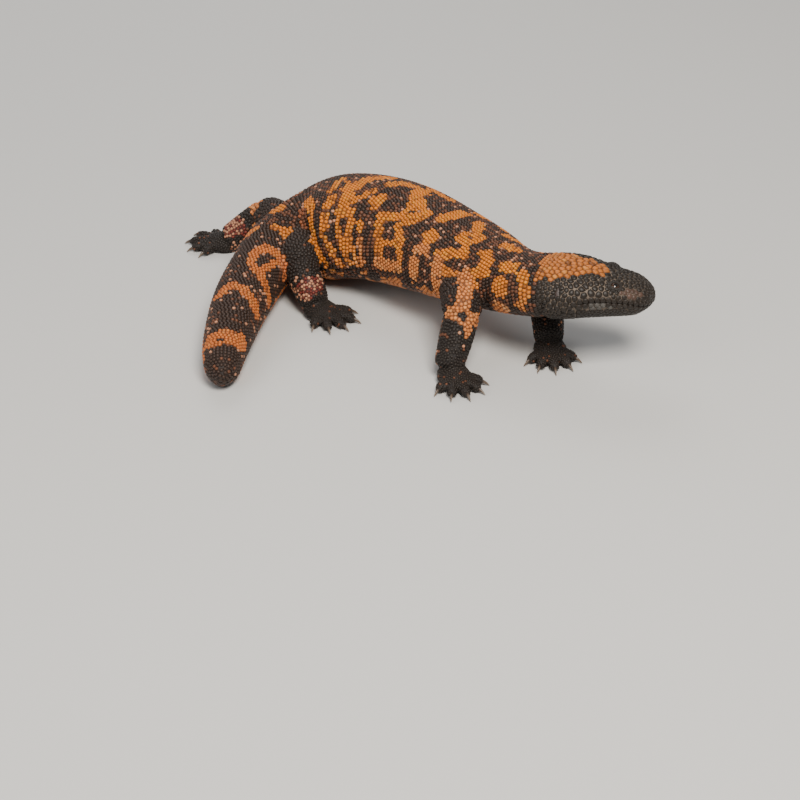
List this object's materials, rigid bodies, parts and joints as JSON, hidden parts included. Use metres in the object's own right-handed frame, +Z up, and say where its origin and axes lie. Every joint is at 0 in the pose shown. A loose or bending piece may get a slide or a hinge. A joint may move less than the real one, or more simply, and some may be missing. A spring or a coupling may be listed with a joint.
{
  "type": "gila monster",
  "caption": "Life-size still model of a gila monster walking with its body bent in a curve, thick tail swung round and head held low.",
  "frame": {"origin": "centre of the model's box on the floor it rests on", "axes": "+Z up, +X the way the head points, +Y away from the side that faces the viewer"},
  "size_m": [0.291, 0.2175, 0.0675],
  "materials": {
    "skin": "satin beaded scales in orange and near-black",
    "horn": "smooth dark horn",
    "eye": "wet and glossy",
    "ear": "matt dark skin"
  },
  "bodies": {
    "root": {"head": "skin", "lower_jaw": "skin", "neck": "skin", "chest": "skin", "belly": "skin", "hips": "skin", "tail_base": "skin", "tail_end": "skin", "eye_right": "eye", "eye_left": "eye", "ear_right": "ear", "ear_left": "ear", "front_right_upper": "skin", "front_right_lower": "skin", "front_right_foot": "skin", "front_right_claw_1": "horn", "front_right_claw_2": "horn", "front_right_claw_3": "horn", "front_right_claw_4": "horn", "front_right_claw_5": "horn", "front_left_upper": "skin", "front_left_lower": "skin", "front_left_foot": "skin", "front_left_claw_1": "horn", "front_left_claw_2": "horn", "front_left_claw_3": "horn", "front_left_claw_4": "horn", "front_left_claw_5": "horn", "hind_right_upper": "skin", "hind_right_lower": "skin", "hind_right_foot": "skin", "hind_right_claw_1": "horn", "hind_right_claw_2": "horn", "hind_right_claw_3": "horn", "hind_right_claw_4": "horn", "hind_right_claw_5": "horn", "hind_left_upper": "skin", "hind_left_lower": "skin", "hind_left_foot": "skin", "hind_left_claw_1": "horn", "hind_left_claw_2": "horn", "hind_left_claw_3": "horn", "hind_left_claw_4": "horn", "hind_left_claw_5": "horn"}
  },
  "joints": []
}
